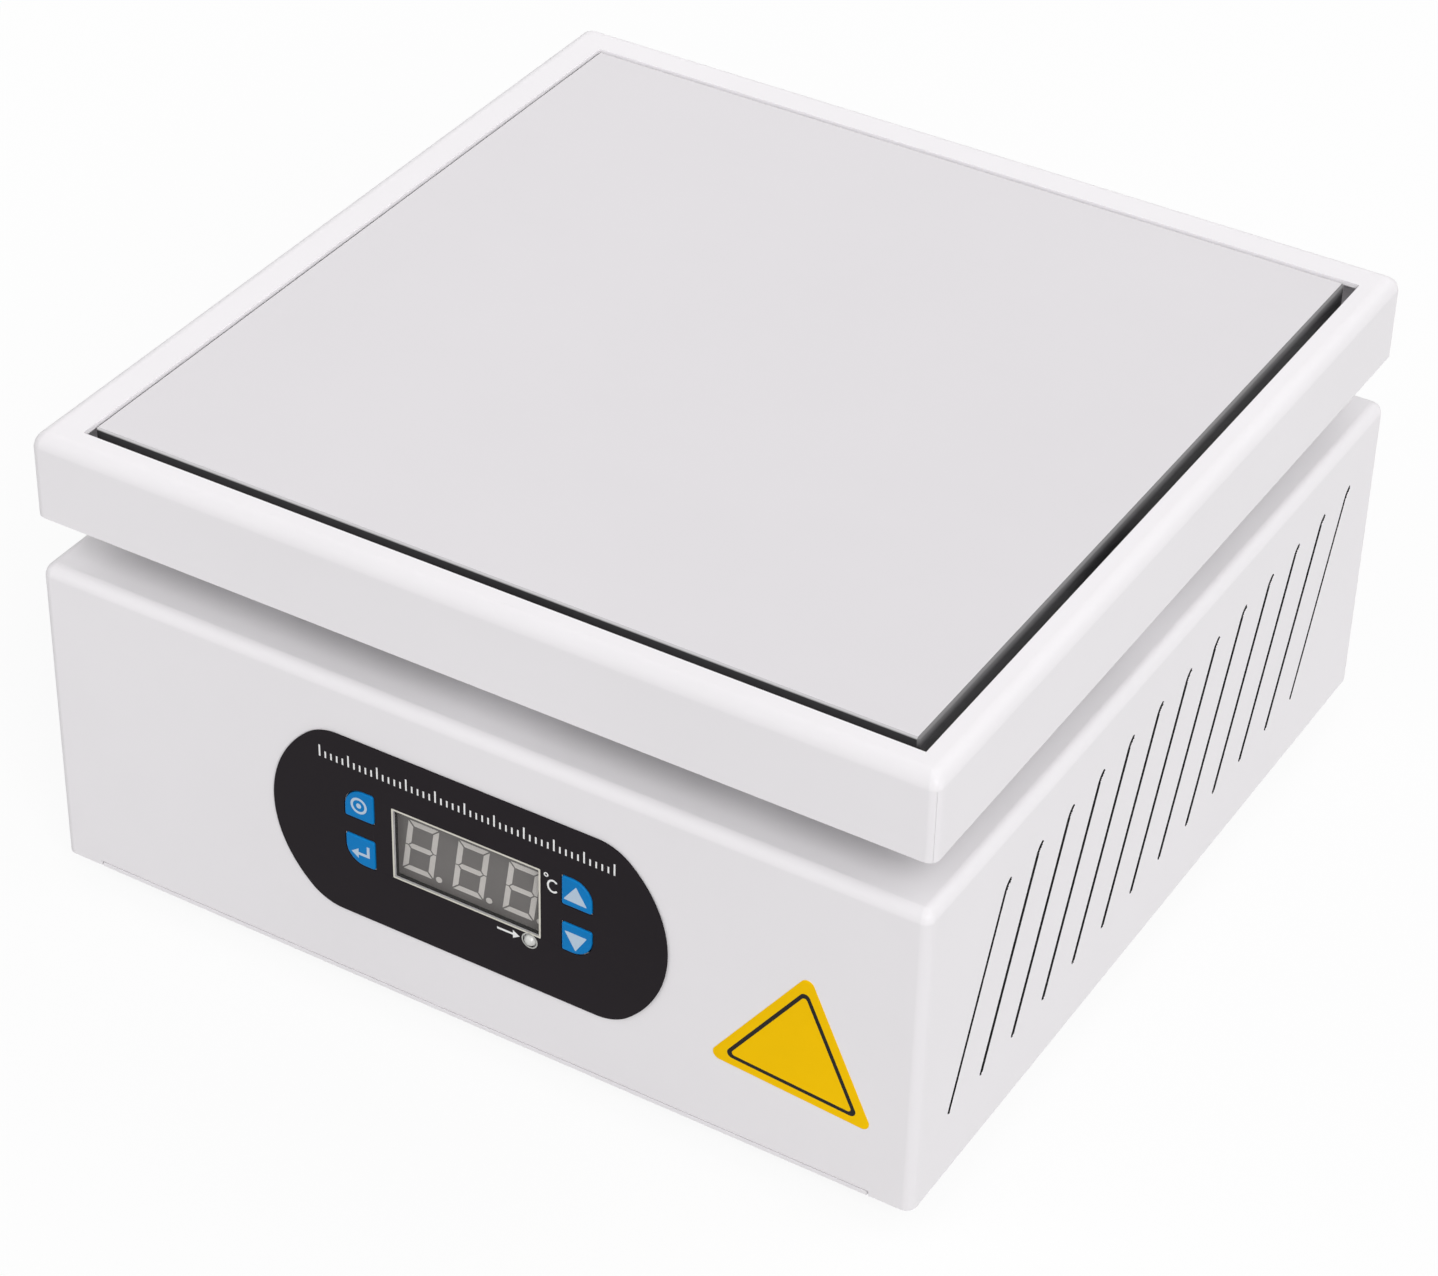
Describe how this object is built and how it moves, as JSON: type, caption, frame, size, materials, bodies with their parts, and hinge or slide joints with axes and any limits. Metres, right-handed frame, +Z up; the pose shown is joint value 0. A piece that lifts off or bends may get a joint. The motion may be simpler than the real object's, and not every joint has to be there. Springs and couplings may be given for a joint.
{
  "type": "pcb preheater",
  "caption": "Square bench hot plate for preheating circuit boards: a flat heating plate in a raised hood over a louvred sheet-metal case with a front control panel.",
  "frame": {"origin": "on the surface that the feet stand on, under the middle of the housing", "axes": "+Z up, out of the heating plate; -Y towards the front, where the control panel is; +X to the user's right"},
  "size_m": [0.22, 0.2254, 0.12],
  "materials": {
    "white_paint": "satin white powder coat",
    "zinc_steel": "zinc-plated sheet steel",
    "black_rubber": "moulded black rubber",
    "plate_aluminium": "fine-milled and anodised",
    "heater_steel": "heat-tinted steel sheath",
    "bead_ceramic": "unglazed ceramic",
    "glass_sleeve": "woven glass sleeve",
    "mineral_board": "pressed mineral fibre",
    "pillar_steel": "turned stainless steel",
    "overlay_film": "black printed film, satin",
    "smoked_window": "smoked clear film",
    "module_plastic": "grey display face with pale segments",
    "key_plastic": "blue moulded key",
    "black_plastic": "moulded black plastic",
    "lamp_epoxy": "diffused lamp epoxy",
    "board_green": "green solder mask",
    "inlet_plastic": "black glass-filled nylon",
    "fuse_glass": "nickel caps on a glass tube",
    "plated_brass": "nickel-plated brass",
    "rocker_plastic": "black moulded rocker",
    "transformer_core": "varnished laminations with a taped bobbin",
    "relay_plastic": "blue relay case",
    "plain_brass": "bright brass"
  },
  "bodies": {
    "case": {"base_housing": "white_paint", "bottom_plate": "white_paint", "bottom_rail_left": "zinc_steel", "bottom_rail_right": "zinc_steel", "foot_front_left": "black_rubber", "foot_front_right": "black_rubber", "foot_rear_left": "black_rubber", "foot_rear_right": "black_rubber", "hood": "white_paint", "hood_bracket_front": "zinc_steel", "hood_bracket_right": "zinc_steel", "hood_bracket_rear": "zinc_steel", "hood_bracket_left": "zinc_steel", "heating_plate": "plate_aluminium", "heater_element": "heater_steel", "heater_bead_left": "bead_ceramic", "heater_bead_right": "bead_ceramic", "heater_lead_left": "glass_sleeve", "heater_lead_right": "glass_sleeve", "heater_clamp_plate": "zinc_steel", "insulation_board": "mineral_board", "heat_shield": "zinc_steel", "plate_pillar_front_left": "pillar_steel", "plate_pillar_front_right": "pillar_steel", "plate_pillar_rear_left": "pillar_steel", "plate_pillar_rear_right": "pillar_steel", "thermocouple": "pillar_steel", "control_overlay": "overlay_film", "display_window": "smoked_window", "display_module": "module_plastic", "tact_set": "black_plastic", "tact_enter": "black_plastic", "tact_up": "black_plastic", "tact_down": "black_plastic", "out_led": "lamp_epoxy", "control_board": "board_green", "iec_inlet": "inlet_plastic", "pin_line": "plated_brass", "pin_neutral": "plated_brass", "pin_earth": "plated_brass", "rocker_frame": "inlet_plastic", "power_board": "board_green", "transformer": "transformer_core", "relay": "relay_plastic", "terminal_block": "black_plastic", "earth_stud": "plain_brass"},
    "set_button": {"key_set": "key_plastic", "key_set_plunger": "black_plastic"},
    "enter_button": {"key_enter": "key_plastic", "key_enter_plunger": "black_plastic"},
    "up_button": {"key_up": "key_plastic", "key_up_plunger": "black_plastic"},
    "down_button": {"key_down": "key_plastic", "key_down_plunger": "black_plastic"},
    "fuse_carrier": {"fuse_drawer": "inlet_plastic", "fuse": "fuse_glass"},
    "power_rocker": {"rocker": "rocker_plastic"}
  },
  "joints": [
    {"name": "set_press", "type": "slide", "parent": "case", "child": "set_button", "axis": [0, 1, 0], "range_m": [0, 0.0004], "stiffness_N_per_m": 400, "springref_m": -0.0005},
    {"name": "enter_press", "type": "slide", "parent": "case", "child": "enter_button", "axis": [0, 1, 0], "range_m": [0, 0.0004], "stiffness_N_per_m": 400, "springref_m": -0.0005},
    {"name": "up_press", "type": "slide", "parent": "case", "child": "up_button", "axis": [0, 1, 0], "range_m": [0, 0.0004], "stiffness_N_per_m": 400, "springref_m": -0.0005},
    {"name": "down_press", "type": "slide", "parent": "case", "child": "down_button", "axis": [0, 1, 0], "range_m": [0, 0.0004], "stiffness_N_per_m": 400, "springref_m": -0.0005},
    {"name": "drawer_slide", "type": "slide", "parent": "case", "child": "fuse_carrier", "axis": [0, 1, 0], "range_m": [0, 0.016]},
    {"name": "rocker_tilt", "type": "hinge", "parent": "case", "child": "power_rocker", "pos_m": [-0.014, 0.11, 0.038], "axis": [-1, 0, 0], "range_deg": [0, 20]}
  ]
}
